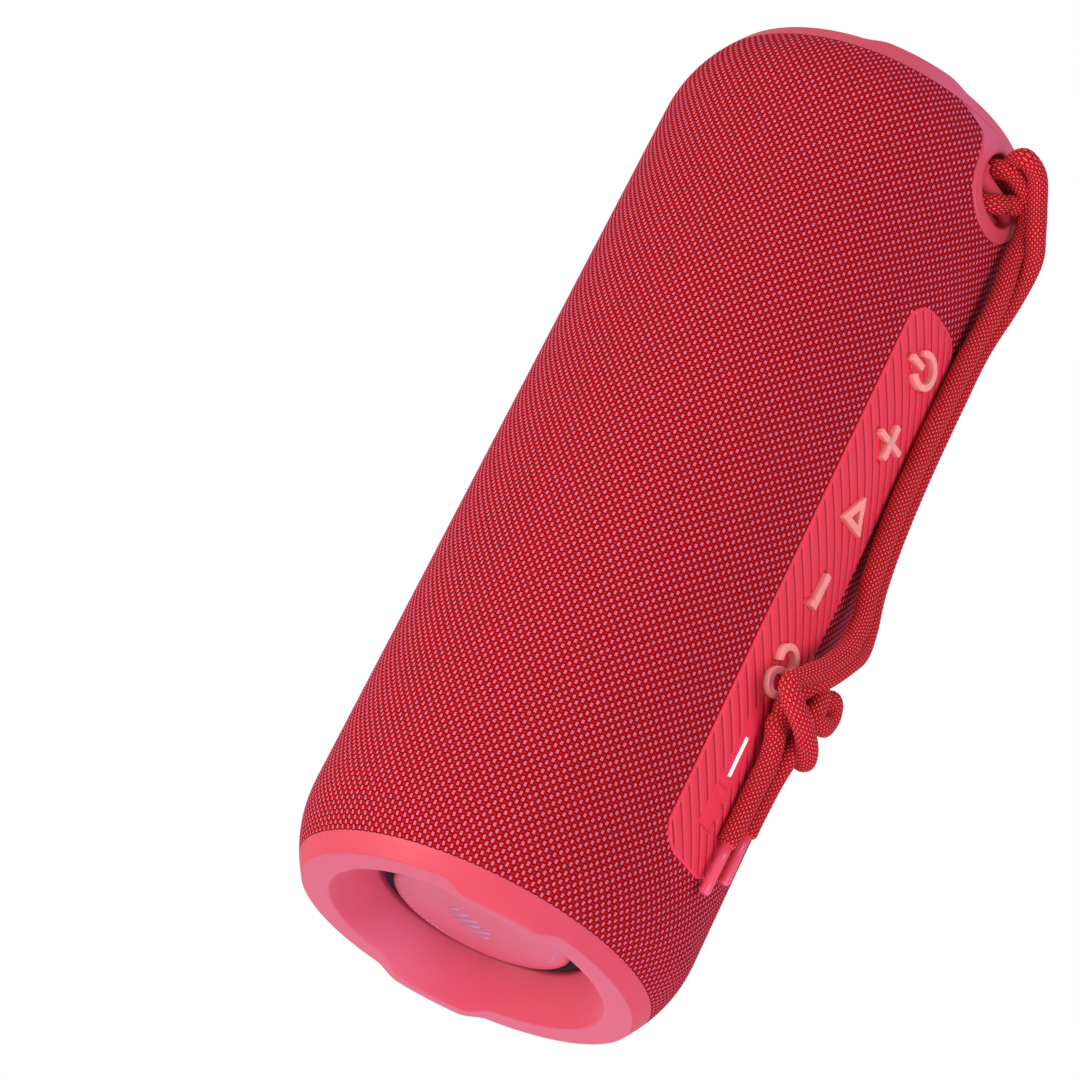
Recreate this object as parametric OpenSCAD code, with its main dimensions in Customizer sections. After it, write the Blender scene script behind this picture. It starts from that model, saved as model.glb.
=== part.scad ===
// Portable cylindrical loudspeaker, standing on its lower rim.
// Z is the axis of the body, the eyelet end is up, the control panel faces -Y
// and the two full-range drivers face +Y.

/* [Body] */
// Outer diameter of the fabric-covered body
body_d = 84; // [70:1:101]
// Overall height from the foot pads to the top rim
body_len = 212; // [177:1:255]
// Height of the two rounded feet that stand out of each rim
foot_h = 1.7; // [1.4:0.1:2.1]

/* [Control panel] */
// Length of the ribbed panel
panel_len = 133; // [111:1:159]
// Width of the ribbed panel
panel_w = 19; // [15.5:0.5:23]
// Height of the icons above the panel
icon_proud = 1.5; // [1.2:0.1:1.8]

/* [Sound] */
// Diameter of each passive radiator's plate
plate_d = 39; // [32.5:0.5:47]
// Travel of each radiator plate, each way
plate_travel = 1.5; // [1.2:0.1:1.8]
// Diameter of each full-range driver
driver_d = 44; // [36.5:0.5:53]

/* [Lanyard] */
// Diameter of the braided cord
cord_d = 4.4; // [3.6:0.1:5.3]
// Diameter of the tips on the cord's ends
aglet_d = 2.4; // [2:0.1:2.9]

/* [Hidden] */

$fn = 96;

k = body_d / 84;          // every radial size follows the body's diameter
R = body_d / 2;
L = body_len;
gap = 0.3;                // clearance between curved faces

// Ends of the body
seam_z = 5.5 * k;         // where the fabric meets the cap
shoulder_z = 20 * k;      // above this the body is a plain cylinder
shoulder_drop = 3.5 * k;  // how far the radius falls between shoulder and seam
foot_flat = 7.5 * k;      // half width of a foot pad
foot_ramp = 5 * k;        // run of the slope beside a foot pad
foot_angle = 47;          // the feet lie on this line through the axis
throat_z = 10 * k;        // inner end of the funnel
flange_z = 11.5 * k;      // seat of the radiator frame
spigot_z = 16 * k;        // inner end of the cap
rim_in = 31.9 * k;
spigot_ro = 35.6 * k;
spigot_ri = 33.6 * k;
fabric_t = 0.8;
shell_t = 1.8;

// Eyelet in the side of the top cap
eye_z = L - 16.4 * k;
eye_r = 11 * k;
eye_hole_r = 7.8 * k;
eye_floor = 32.4 * k;
eye_back = 30.9 * k;
eye_proud = 0.35 * k;
bar_r = 1.9 * k;
bar_y = 39.4 * k;
bar_z = eye_z - 1 * k;

// Passive radiators
plate_r = plate_d / 2;
throat_r = plate_r + 3.5 * k;
frame_ri = throat_r + 0.9 * k;
surround_ro = frame_ri + 1.4 * k;
frame_screw_head = 1.6;     // radius of the head
frame_screw_r = surround_ro + frame_screw_head + 0.35 * k;   // clears the surround
frame_ro = max(30.6 * k, frame_screw_r + frame_screw_head + 0.35 * k);
frame_t = 2 * k;
plate_front = 7.1 * k + plate_travel;   // stays inside the rim at full travel
plate_back = plate_front + 1.8 * k;

// Control panel
panel_z = 0.444 * L;
panel_ro = R + 0.3 * k;
panel_ri = R - fabric_t - 0.2;
u = panel_w / 19;         // icons follow the panel's width
panel_corner = 6.5 * u;   // the panel's corners are rounded this much
pz = panel_len / 133;     // their spacing follows its length
rib_pitch = 4;
rib_angle = 40;
rib_depth = 0.35;
power_z = panel_z + 54 * pz;
plus_z = panel_z + 35.6 * pz;
play_z = panel_z + 17.6 * pz;
minus_z = panel_z - 1.4 * pz;
link_z = panel_z - 20.6 * pz;
light_z = panel_z - 41 * pz;
port_z = panel_z - 52.6 * pz;
post_zs = [panel_z + 44.8 * pz, panel_z + 8.4 * pz, panel_z - 31.5 * pz];
icon_gap = 0.15;
play_line = 0.9 * u;      // half the width of the triangle's line
web_y = R - 1.8 * k;      // front of the web behind each icon
web_t = 1;
board_y = R - 5.4 * k;    // front of the control board
board_t = 1.2;
port_w = 4.2;
port_len = 9.5;
port_front = R - 1 * k;
hinge_r = 0.6;            // rounded lower edge that the port's plug turns on

// Inner cabinet
cab_ro = 35.8 * k;
cab_ri = 33.6 * k;
cab_wall = 2 * k;
cab_z0 = 16.5 * k;
cab_z1 = L - 29.5 * k;
cab_mid = (cab_z0 + cab_z1) / 2;
cab_back_y = -30.5 * k;
shell_ri = R - fabric_t - gap - shell_t;

// Drivers
d = driver_d / 44;
drv_r = driver_d / 2;
flange_y = sqrt(pow(shell_ri - 0.8, 2) - drv_r * drv_r);
drv_gap = 0.235 * (cab_z1 - cab_z0);
lower_z = cab_mid - drv_gap;
upper_z = cab_mid + drv_gap;
ear = 16.4 * d;
flange_t = 1.5;
baffle_y = flange_y - flange_t;

// Power and electronics
cell_r = 9.2 * k;
cell_len = 65 * k * min(1, L / 212);
cell_x = 9.8 * k;
cell_y = -17.4 * k;
pcb_y = -5 * k;
pcb_t = 1.6;
pcb_w = 48 * k;
pcb_len = 0.253 * (cab_z1 - cab_z0);
post_x = 21.5 * k;
post_z = pcb_len / 2 - 4;

// Radius of the outer skin at height z
function end_z(z) = min(z, L - z);
function skin(z) = end_z(z) >= shoulder_z ? R :
    R - shoulder_drop * pow((shoulder_z - end_z(z)) / (shoulder_z - seam_z), 2.2);
function skin_zs(z0) = [for (i = [0 : 5]) z0 + (shoulder_z - z0) * i / 5];
function skin_pts(z0, inset) = concat(
    [for (z = skin_zs(z0)) [skin(z) - inset, z]],
    [for (i = [5 : -1 : 0]) [skin(skin_zs(z0)[i]) - inset, L - skin_zs(z0)[i]]]);
function backwards(v) = [for (i = [len(v) - 1 : -1 : 0]) v[i]];

// Radius of the funnel's inner wall at height z above the rim
function funnel(z) = throat_r + (rim_in - throat_r) * pow((throat_z - z) / throat_z, 1.15);

// ---------- helpers ----------
module rod_y(x, y0, y1, z, r) {
    translate([x, y0, z]) rotate([-90, 0, 0]) cylinder(r = r, h = y1 - y0);
}

module box(x0, x1, y0, y1, z0, z1) {
    translate([x0, y0, z0]) cube([x1 - x0, y1 - y0, z1 - z0]);
}

module upside_down() {
    translate([0, 0, L]) mirror([0, 0, 1]) children();
}

module obround(w, h) {
    square([w, h - w], center = true);
    for (s = [-1, 1]) translate([0, s * (h - w) / 2]) circle(d = w);
}

// a flat outline, seen from the front, pushed through the body's front wall
module through_front(z, y0, y1) {
    translate([0, -y0, z]) rotate([90, 0, 0]) linear_extrude(y1 - y0) children();
}

module panel_outline(grow) {
    offset(r = panel_corner + grow)
        square([panel_w - 2 * panel_corner, panel_len - 2 * panel_corner], center = true);
}

module eye_outline(grow) {
    circle(r = eye_r + grow);
    polygon([[-10 * k - grow, 4.5 * k], [-14.5 * k - grow, 11.2 * k],
             [14.5 * k + grow, 11.2 * k], [10 * k + grow, 4.5 * k]]);
}

// ---------- skins ----------
module tube_skin(z0, inset, t) {
    outer = skin_pts(z0, inset);
    inner = skin_pts(z0, inset + t);
    rotate_extrude() polygon(concat(outer, backwards(inner)));
}

module fabric_sleeve() {
    color("firebrick") difference() {
        tube_skin(seam_z, 0, fabric_t);
        through_front(panel_z, R - 6, R + 6) panel_outline(0.2);
        through_front(eye_z, R - 12 * k, R + 6) eye_outline(0.2);
    }
}

module driver_grid() {
    step = drv_r * 0.26;
    for (i = [-3 : 3], j = [-3 : 3])
        if (norm([i, j]) < 3.2)
            rod_y(i * step, baffle_y, R, j * step, step * 0.3);
}

module grille_shell() {
    color("darkred") difference() {
        tube_skin(seam_z + 1.2 * k, fabric_t + gap, shell_t);
        through_front(panel_z, R - 8, R + 6) panel_outline(-2.5);
        through_front(eye_z, R - 12 * k, R + 6) eye_outline(0.3);
        for (z = [lower_z, upper_z]) translate([0, 0, z]) driver_grid();
    }
}

// ---------- end caps ----------
module foot_cut() {
    reach = 2 * R;
    rotate([0, 0, foot_angle]) for (s = [0, 1]) mirror([0, s, 0])
        rotate([90, 0, 90]) linear_extrude(2 * reach, center = true)
            polygon([[foot_flat, -1], [foot_flat, 0], [foot_flat + foot_ramp, foot_h],
                     [reach, foot_h], [reach, -1]]);
}

funnel_pts = [for (i = [8 : -1 : 0]) [funnel(throat_z * i / 8), throat_z * i / 8]];

module cap_ring() {
    rotate_extrude() polygon(concat(funnel_pts, [
        [33.9 * k, 0], [35.4 * k, 1 * k], [36.4 * k, 2.2 * k], [37.5 * k, 3.8 * k],
        [38.5 * k, seam_z], [37.3 * k, seam_z], [37.3 * k, seam_z + 0.9 * k],
        [spigot_ro, seam_z + 0.9 * k], [spigot_ro, spigot_z], [spigot_ri, spigot_z],
        [spigot_ri, 6.6 * k], [33 * k, 5 * k], [30.4 * k, 5 * k],
        [throat_r + 2 * k, flange_z], [throat_r, flange_z]]));
}

module frame_screw_spots() {
    for (a = [0 : 90 : 270]) rotate([0, 0, a]) translate([frame_screw_r, 0, 0]) children();
}

module cap_body() {
    difference() {
        union() {
            cap_ring();
            frame_screw_spots() translate([0, 0, 4.5 * k]) cylinder(r = 2.4 * k, h = flange_z - 4.5 * k);
        }
        foot_cut();
        rotate_extrude() polygon(concat([[0, throat_z]], funnel_pts, [[0, 0]]));
        frame_screw_spots() translate([0, 0, flange_z - 4.5 * k]) cylinder(r = 0.95, h = 5 * k, $fn = 24);
    }
}

module bottom_cap() {
    color("lightcoral") cap_body();
}

module eye_boss() {
    intersection() {
        through_front(eye_z, eye_back, R + 2) eye_outline(0);
        rotate_extrude() polygon([
            [eye_back, L - 40 * k], [R + eye_proud, L - 40 * k], [R + eye_proud, L - 20 * k],
            [41.6 * k, L - 14 * k], [40.4 * k, L - 9 * k], [38.5 * k, L - seam_z],
            [37.5 * k, L - 5 * k], [eye_back, L - 5 * k]]);
    }
}

module top_cap() {
    color("lightcoral") {
        difference() {
            union() {
                upside_down() cap_body();
                eye_boss();
            }
            rod_y(0, -R - 4, -eye_floor, eye_z, eye_hole_r);
        }
        translate([-eye_hole_r - 0.8 * k, -bar_y, bar_z]) rotate([0, 90, 0])
            cylinder(r = bar_r, h = 2 * eye_hole_r + 1.6 * k);
    }
}

// ---------- control panel and what is behind it ----------
module ribs() {
    count = ceil((panel_len + panel_w / tan(rib_angle)) / rib_pitch / 2);
    for (i = [-count : count])
        translate([0, -R, panel_z + i * rib_pitch]) rotate([0, -rib_angle, 0])
            cube([0.5, 2 * (panel_ro - R + rib_depth), 2 * panel_w], center = true);
}

module smooth_patch() {
    through_front(light_z - 3 * pz, R - 6, R + 6) obround(7 * u, 30 * pz);
}

module control_panel() {
    color("hotpink") difference() {
        union() {
            intersection() {
                through_front(panel_z, R - 6, R + 6) panel_outline(0);
                translate([0, 0, panel_z - panel_len]) difference() {
                    cylinder(r = panel_ro, h = 2 * panel_len);
                    translate([0, 0, -1]) cylinder(r = panel_ri, h = 2 * panel_len + 2);
                }
            }
            for (z = post_zs) rod_y(0, -panel_ri - 0.5, -board_y, z, 1.7);
        }
        difference() {
            ribs();
            smooth_patch();
        }
        for (z = post_zs) rod_y(0, -board_y - 2.6, -board_y + 1, z, 0.7);
        translate([0, 0, power_z]) front_prism(0) power_icon(icon_gap);
        translate([0, 0, plus_z]) front_prism(0) plus_icon(icon_gap);
        translate([0, 0, play_z]) front_prism(0) play_icon(icon_gap);
        translate([0, 0, minus_z]) front_prism(0) minus_icon(icon_gap);
        translate([0, 0, link_z]) front_prism(0) link_icon(icon_gap);
        translate([0, 0, light_z]) front_prism(0) square([1.2, 9.6], center = true);
        translate([0, 0, port_z]) front_prism(0) square([port_w + 0.4, port_len + 0.7], center = true);
    }
}

module front_prism(from_y) {
    through_front(0, from_y > 0 ? from_y : R - 6, R + 6) children();
}

// Icons, drawn in the X-Z plane with g added all round
module open_ring(r, w, g, a0, a1) {
    difference() {
        circle(r = r + w / 2 + g, $fn = 48);
        circle(r = r - w / 2 - g, $fn = 48);
        polygon([[0, 0], 3 * r * [cos(a0), sin(a0)], 3 * r * [cos((a0 + a1) / 2), sin((a0 + a1) / 2)],
                 3 * r * [cos(a1), sin(a1)]]);
    }
}

module power_icon(g) {
    open_ring(3.4 * u, 1.7 * u, g, 152 + 9 * g, 208 - 9 * g);
    translate([-3.1 * u, 0]) square([4 * u + 2 * g, 1.5 * u + 2 * g], center = true);
}

module plus_icon(g) {
    square([8.2 * u + 2 * g, 1.8 * u + 2 * g], center = true);
    square([1.8 * u + 2 * g, 8.2 * u + 2 * g], center = true);
}

module play_icon(g) {
    o = g + play_line;
    polygon([[0, 3.2 * u + 2.1 * o], [-3 * u - 1.55 * o, -2.8 * u - o], [3 * u + 1.55 * o, -2.8 * u - o]]);
}

module minus_icon(g) {
    square([1.8 * u + 2 * g, 8.2 * u + 2 * g], center = true);
}

module link_icon(g) {
    translate([0, 2.6 * u]) open_ring(2.5 * u, 1.5 * u, g, 175 + 9 * g, 235 - 9 * g);
    translate([0, -2.6 * u]) open_ring(2.5 * u, 1.5 * u, g, -5 + 9 * g, 55 - 9 * g);
}

module button(z, half_len) {
    color("lightpink") translate([0, 0, z]) {
        intersection() {
            front_prism(web_y - 0.2) children();
            translate([0, 0, -20]) cylinder(r = panel_ro + icon_proud, h = 40);
        }
        box(-5 * u, 5 * u, -web_y, -web_y + web_t, -half_len * u, half_len * u);
    }
}

module power_button() { button(power_z, 5) power_icon(0); }
module plus_button() { button(plus_z, 5) plus_icon(0); }
module play_button() {
    color("lightpink") difference() {
        button(play_z, 5.6) play_icon(0);
        through_front(play_z, panel_ro, R + 6) play_icon(-2 * play_line);
    }
}
module minus_button() { button(minus_z, 5) minus_icon(0); }
module link_button() { button(link_z, 6.4) link_icon(0); }

module light_bar() {
    color("white") {
        box(-0.5, 0.5, -panel_ro + 0.02, -web_y, light_z - 4.7, light_z + 4.7);
        box(-1.3, 1.3, -web_y - 0.1, -web_y + 0.9, light_z - 5.6, light_z + 5.6);
    }
}

module port_plug() {
    hinge_z = port_z - port_len / 2;
    color("hotpink") {
        box(-port_w / 2, port_w / 2, -port_front, -port_front + 1.8,
            hinge_z + hinge_r, port_z + port_len / 2);
        translate([-port_w / 2, -port_front + hinge_r, hinge_z + hinge_r]) rotate([0, 90, 0])
            cylinder(r = hinge_r, h = port_w);
    }
}

module usb_socket() {
    color("silver") difference() {
        box(-1.7, 1.7, -port_front + 2.2, -port_front + 9, port_z - 4.6, port_z + 4.6);
        box(-1.4, 1.4, -port_front + 2, -port_front + 8.4, port_z - 4.3, port_z + 4.3);
    }
    color("black") box(-0.35, 0.35, -port_front + 3, -port_front + 8.5, port_z - 3.2, port_z + 3.2);
}

module control_board() {
    color("darkgreen") difference() {
        box(-7 * u, 7 * u, -board_y, -board_y + board_t, port_z - 8, power_z + 6);
        box(-2, 2, -board_y - 1, -board_y + board_t + 1, port_z - 5, port_z + 5);
        for (z = post_zs) rod_y(0, -board_y - 1, -board_y + board_t + 1, z, 0.9);
    }
}

module button_switches() {
    for (z = [power_z, plus_z, play_z, minus_z, link_z]) {
        color("black") box(-1.8, 1.8, -board_y - 1.4, -board_y, z - 1.8, z + 1.8);
        color("silver") rod_y(0, -web_y + web_t + 0.65, -board_y - 1.3, z, 1);
    }
}

module status_leds() {
    color("lightyellow") for (i = [-1 : 1])
        box(-0.8, 0.8, -board_y - 0.8, -board_y, light_z + 3 * i - 0.6, light_z + 3 * i + 0.6);
}

module control_board_screws() {
    color("gray") for (z = post_zs) {
        rod_y(0, -board_y - 2.4, -board_y + board_t + 0.5, z, 0.6);
        rod_y(0, -board_y + board_t, -board_y + board_t + 0.9, z, 1.3);
    }
}

// ---------- passive radiators ----------
module radiator_plate() {
    rotate_extrude() polygon([[0, plate_front], [plate_r - 2.5 * k, plate_front],
        [plate_r - 0.5 * k, plate_front + 0.4 * k], [plate_r, plate_front + 0.9 * k],
        [plate_r, plate_back], [0, plate_back]]);
}

module radiator_weight() {
    translate([0, 0, plate_back]) cylinder(r = 0.615 * plate_r, h = 5 * k);
}

module surround() {
    t = 0.6 * k;
    seat = flange_z + frame_t;
    rotate_extrude() polygon([
        [plate_r - 4.3 * k, plate_back], [plate_r + 0.2 * k, plate_back],
        [plate_r + 1 * k, plate_back - 0.4 * k],
        [throat_r - 1.2 * k, plate_back - 0.2 * k], [throat_r - 0.5 * k, plate_back + 0.8 * k],
        [frame_ri - 0.5 * k, seat], [surround_ro, seat], [surround_ro, seat + t],
        [frame_ri - 0.9 * k, seat + t], [throat_r - 1.2 * k, plate_back + 0.9 * k],
        [throat_r - 1.5 * k, plate_back + 0.4 * k], [plate_r + 1.1 * k, plate_back + 0.2 * k],
        [plate_r + 0.3 * k, plate_back + t], [plate_r - 4.3 * k, plate_back + t]]);
}

module radiator_frame() {
    difference() {
        translate([0, 0, flange_z]) cylinder(r = frame_ro, h = frame_t);
        translate([0, 0, flange_z - 1]) cylinder(r = frame_ri, h = frame_t + 2);
        frame_screw_spots() translate([0, 0, flange_z - 1]) cylinder(r = 1.05, h = frame_t + 2, $fn = 24);
    }
}

module frame_screws() {
    seat = flange_z + frame_t;
    frame_screw_spots() {
        translate([0, 0, seat - 6 * k]) cylinder(r = 0.9, h = 6 * k, $fn = 24);
        translate([0, 0, seat]) cylinder(r = frame_screw_head, h = 1.2, $fn = 24);
    }
}

module bottom_radiator_plate() { color("indianred") radiator_plate(); }
module top_radiator_plate() { color("indianred") upside_down() radiator_plate(); }
module bottom_radiator_weight() { color("gray") radiator_weight(); }
module top_radiator_weight() { color("gray") upside_down() radiator_weight(); }
module bottom_surround() { color("black") surround(); }
module top_surround() { color("black") upside_down() surround(); }
module bottom_radiator_frame() { color("dimgray") radiator_frame(); }
module top_radiator_frame() { color("dimgray") upside_down() radiator_frame(); }

module radiator_screws() {
    color("silver") {
        frame_screws();
        upside_down() frame_screws();
    }
}

// ---------- inner cabinet ----------
module cabinet_section(r, back, front) {
    intersection() {
        circle(r = r);
        translate([-2 * R, back]) square([4 * R, front - back]);
    }
}

module cabinet_shell() {
    difference() {
        translate([0, 0, cab_z0]) linear_extrude(cab_z1 - cab_z0)
            cabinet_section(cab_ro, cab_back_y, baffle_y);
        translate([0, 0, cab_z0 + cab_wall]) linear_extrude(cab_z1 - cab_z0 - 2 * cab_wall)
            cabinet_section(cab_ri, cab_back_y + cab_wall, baffle_y - cab_wall);
        translate([0, 0, -1]) cylinder(r = throat_r, h = L + 2);
        for (z = [lower_z, upper_z]) {
            rod_y(0, 0, R, z, 21 * d);
            driver_ears(z) rod_y(0, baffle_y - cab_wall - 1, R, 0, 0.95);
        }
    }
}

module driver_ears(z) {
    for (sx = [-1, 1], sz = [-1, 1]) translate([sx * ear, 0, z + sz * ear]) children();
}

module pcb_posts() {
    for (sx = [-1, 1], sz = [-1, 1]) translate([sx * post_x, 0, cab_mid + sz * post_z]) children();
}

module slab(y0, y1) {
    translate([-2 * R, y0, 0]) cube([4 * R, y1 - y0, L]);
}

module cabinet_front() {
    color("dimgray") intersection() {
        cabinet_shell();
        slab(0.6, 2 * R);
    }
}

module cabinet_back() {
    color("dimgray") {
        intersection() {
            cabinet_shell();
            slab(-2 * R, -0.6);
        }
        difference() {
            pcb_posts() rod_y(0, -26.6 * k, pcb_y, 0, 2.2);
            pcb_posts() rod_y(0, pcb_y - 6, pcb_y + 1, 0, 0.95);
        }
    }
}

module cabinet_gasket() {
    color("black") intersection() {
        cabinet_shell();
        slab(-0.6, 0.6);
    }
}

// ---------- drivers: local Z is the driver's axis, 0 at the front of its flange ----------
module driver_place(z) {
    translate([0, flange_y, z]) rotate([-90, 0, 0]) scale(d) children();
}

module basket(z) {
    color("dimgray") driver_place(z) difference() {
        union() {
            rotate_extrude() polygon([[19.7, 0], [22, 0], [22, -flange_t / d], [20.8, -flange_t / d],
                [20.8, -4.2], [14.8, -13.8], [14.8, -15], [8.2, -15], [8.2, -13.8],
                [13.3, -13.8], [19.7, -3.6]]);
            for (sx = [-1, 1], sy = [-1, 1]) difference() {
                translate([sx * ear / d, sy * ear / d, -flange_t / d]) cylinder(r = 2.6, h = flange_t / d);
                translate([0, 0, -5]) cylinder(r = 20.8, h = 10);
            }
        }
        for (sx = [-1, 1], sy = [-1, 1])
            translate([sx * ear / d, sy * ear / d, -5]) cylinder(r = 1.05 / d, h = 10, $fn = 24);
        for (a = [0 : 90 : 270]) rotate([0, 0, a]) translate([10, 0, -8.6]) rotate([0, 90, 0])
            cylinder(r = 3.6, h = 16);
    }
}

module ring_part(z, ri, ro, z0, z1) {
    driver_place(z) translate([0, 0, z0]) difference() {
        cylinder(r = ro, h = z1 - z0);
        translate([0, 0, -1]) cylinder(r = ri, h = z1 - z0 + 2);
    }
}

module top_plate(z) { color("silver") ring_part(z, 6.6, 13.8, -17, -15); }
module magnet(z) { color("dimgray") ring_part(z, 8, 14.3, -21, -17); }
module voice_coil(z) { color("chocolate") ring_part(z, 5.9, 6.3, -19.4, -11); }

module yoke(z) {
    color("silver") driver_place(z) {
        translate([0, 0, -23]) cylinder(r = 13.6, h = 2);
        translate([0, 0, -22]) cylinder(r = 5.6, h = 7.4);
    }
}

module cone_part(z) {
    color("dimgray") driver_place(z) rotate_extrude() polygon([[5.9, -11], [6.9, -11],
        [17.3, -2.6], [17.3, -2], [16.6, -2], [6.6, -10.2], [5.9, -10.2]]);
}

module cone_surround(z) {
    color("black") driver_place(z) rotate_extrude() {
        translate([15.9, -2]) square([1.5, 0.5]);
        translate([18, -2]) difference() {
            circle(r = 1.2, $fn = 32);
            circle(r = 0.7, $fn = 32);
            translate([-2, -4]) square([4, 4]);
        }
    }
}

module dust_cap(z) {
    color("black") driver_place(z) rotate_extrude() polygon([[0, -7.2], [0, -6.7], [3.5, -7],
        [6.2, -8], [8, -9], [7.5, -9.35], [5.9, -8.5], [3.3, -7.5]]);
}

module lower_basket() { basket(lower_z); }
module lower_top_plate() { top_plate(lower_z); }
module lower_magnet() { magnet(lower_z); }
module lower_yoke() { yoke(lower_z); }
module lower_voice_coil() { voice_coil(lower_z); }
module lower_cone() { cone_part(lower_z); }
module lower_cone_surround() { cone_surround(lower_z); }
module lower_dust_cap() { dust_cap(lower_z); }
module upper_basket() { basket(upper_z); }
module upper_top_plate() { top_plate(upper_z); }
module upper_magnet() { magnet(upper_z); }
module upper_yoke() { yoke(upper_z); }
module upper_voice_coil() { voice_coil(upper_z); }
module upper_cone() { cone_part(upper_z); }
module upper_cone_surround() { cone_surround(upper_z); }
module upper_dust_cap() { dust_cap(upper_z); }

module driver_screws() {
    color("silver") for (z = [lower_z, upper_z]) driver_ears(z) {
        rod_y(0, baffle_y - cab_wall + 0.1, flange_y + 0.5, 0, 0.9);
        rod_y(0, flange_y, flange_y + 1, 0, 1.7);
    }
}

// ---------- power and electronics ----------
module battery_cells() {
    color("steelblue") for (s = [-1, 1])
        translate([s * cell_x, cell_y, cab_mid - cell_len / 2]) cylinder(r = cell_r, h = cell_len);
}

module battery_tray() {
    y0 = cab_back_y + cab_wall;
    y1 = cell_y - cell_r - 0.2;
    end = cell_len / 2;
    color("dimgray") {
        box(-17 * k, 17 * k, y0, y1, cab_mid - end - 3, cab_mid + end + 3);
        for (s = [0, 1]) translate([0, 0, cab_mid]) mirror([0, 0, s])
            box(-17 * k, 17 * k, y0, cell_y + 2, end + 0.2, end + 3);
    }
}

module main_board() {
    color("darkgreen") difference() {
        box(-pcb_w / 2, pcb_w / 2, pcb_y, pcb_y + pcb_t, cab_mid - pcb_len / 2, cab_mid + pcb_len / 2);
        pcb_posts() rod_y(0, pcb_y - 1, pcb_y + pcb_t + 1, 0, 1.05);
    }
}

module board_parts() {
    y = pcb_y + pcb_t;
    color("black") {
        box(-9, 0, y, y + 1.2, cab_mid + 4, cab_mid + 13);
        box(4, 11, y, y + 1.4, cab_mid - 12, cab_mid - 5);
    }
    color("gray") box(-12, -5, y, y + 3.4, cab_mid - 13, cab_mid - 6);
    color("steelblue") rod_y(9, y, y + 6, cab_mid + 8, 3.2);
}

module main_board_screws() {
    y = pcb_y + pcb_t;
    color("silver") pcb_posts() {
        rod_y(0, pcb_y - 5.4, y + 0.5, 0, 0.9);
        rod_y(0, y, y + 1, 0, 1.7);
    }
}

module wire_harness() {
    y = pcb_y + pcb_t + 0.7;
    side = 17 * k;
    edge = pcb_len / 2 - 3;
    far = drv_gap - 8;
    color("gold") for (s = [-1, 1])
        tube([[s * side, y, cab_mid + s * (edge - 6)], [s * side, y + 3, cab_mid + s * edge],
              [s * side, y + 3, cab_mid + s * far], [s * 15.4 * d, y + 5, cab_mid + s * drv_gap]], 0.6);
}

// ---------- lanyard ----------
// Points of a route: [angle from straight ahead, radius beyond the skin, height]
function at(p) = [(R + p[1]) * sin(p[0]), -(R + p[1]) * cos(p[0]), p[2] * L / 212];
function along(route) = [for (p = route) at(p)];

RIGHT_ROUTE = [[5, 2.5, 195], [9, 5.5, 197], [13, 6.2, 193], [16, 5.6, 186], [18, 4.4, 176],
               [18, 3.2, 164], [18, 2.9, 150], [18, 2.9, 132], [19, 3.2, 116], [21, 3.9, 104],
               [22.5, 5.2, 96], [20, 6.3, 89], [14, 6.6, 83], [9, 6.4, 79]];
LEFT_ROUTE = [[1, 2.5, 191], [5, 6.2, 192], [8.5, 6.6, 187], [11, 5.6, 180], [12, 4.2, 171],
              [12.3, 3.2, 160], [12.3, 2.9, 148], [12.3, 2.9, 132], [13, 3.2, 116], [14.6, 3.9, 104],
              [15.4, 5.3, 95], [12, 6.4, 87], [8, 6.5, 81], [6, 6.3, 77]];
RIGHT_TAIL = [[12, 6, 64], [13.5, 5, 60], [14.2, 3.6, 55], [14.4, 2.8, 50], [14.4, 2.6, 45],
              [14.4, 2.6, 41.7]];
LEFT_TAIL = [[8, 6, 63], [8.6, 4.8, 58], [8.8, 3.4, 52], [8.8, 2.8, 46], [8.8, 2.6, 40], [8.8, 2.6, 36.5]];
KNOT = [9, 7.2, 70];

SIDES = 10;
function unit(v) = v / norm(v);
function tangent(p, i) = unit(p[min(i + 1, len(p) - 1)] - p[max(i - 1, 0)]);
function ring(c, t, r) =
    let (a = unit(cross(t, [0, 1, 0.01])), b = cross(t, a))
    [for (j = [0 : SIDES - 1]) c + r * (a * cos(360 * j / SIDES) + b * sin(360 * j / SIDES))];

// a round cord or wire of radius r along the points p
module tube(p, r) {
    n = len(p);
    pts = [for (i = [0 : n - 1], v = ring(p[i], tangent(p, i), r)) v];
    walls = [for (i = [0 : n - 2], j = [0 : SIDES - 1])
        [i * SIDES + j, i * SIDES + (j + 1) % SIDES, (i + 1) * SIDES + (j + 1) % SIDES, (i + 1) * SIDES + j]];
    first = [for (j = [SIDES - 1 : -1 : 0]) j];
    last = [for (j = [0 : SIDES - 1]) (n - 1) * SIDES + j];
    polyhedron(points = pts, faces = concat([first], walls, [last]), convexity = 4);
}

module lanyard_hitch() {
    ro = 6.2 * k;
    ri = bar_r + 0.3;
    half = 4 * k;
    c = 1.6 * k;
    color("crimson") translate([0, -bar_y, bar_z]) rotate([0, 90, 0]) rotate_extrude()
        polygon([[ri, -half], [ro - c, -half], [ro, -half + c], [ro, half - c], [ro - c, half], [ri, half]]);
}

module lanyard_knot() {
    rr = 5.6;
    hh = 9.5;
    color("crimson") translate(at(KNOT)) rotate_extrude()
        polygon([for (i = [0 : 12]) [rr * sin(15 * i), -hh * cos(15 * i)]]);
}

module strand_right() { color("crimson") tube(along(RIGHT_ROUTE), cord_d / 2); }
module strand_left() { color("crimson") tube(along(LEFT_ROUTE), cord_d / 2); }
module tail_right() { color("crimson") tube(along(RIGHT_TAIL), cord_d / 2); }
module tail_left() { color("crimson") tube(along(LEFT_TAIL), cord_d / 2); }

module aglet(end) {
    p = at(end);
    color("lightcoral") translate([p[0], p[1], p[2] - 11]) cylinder(d = aglet_d, h = 11);
}

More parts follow.
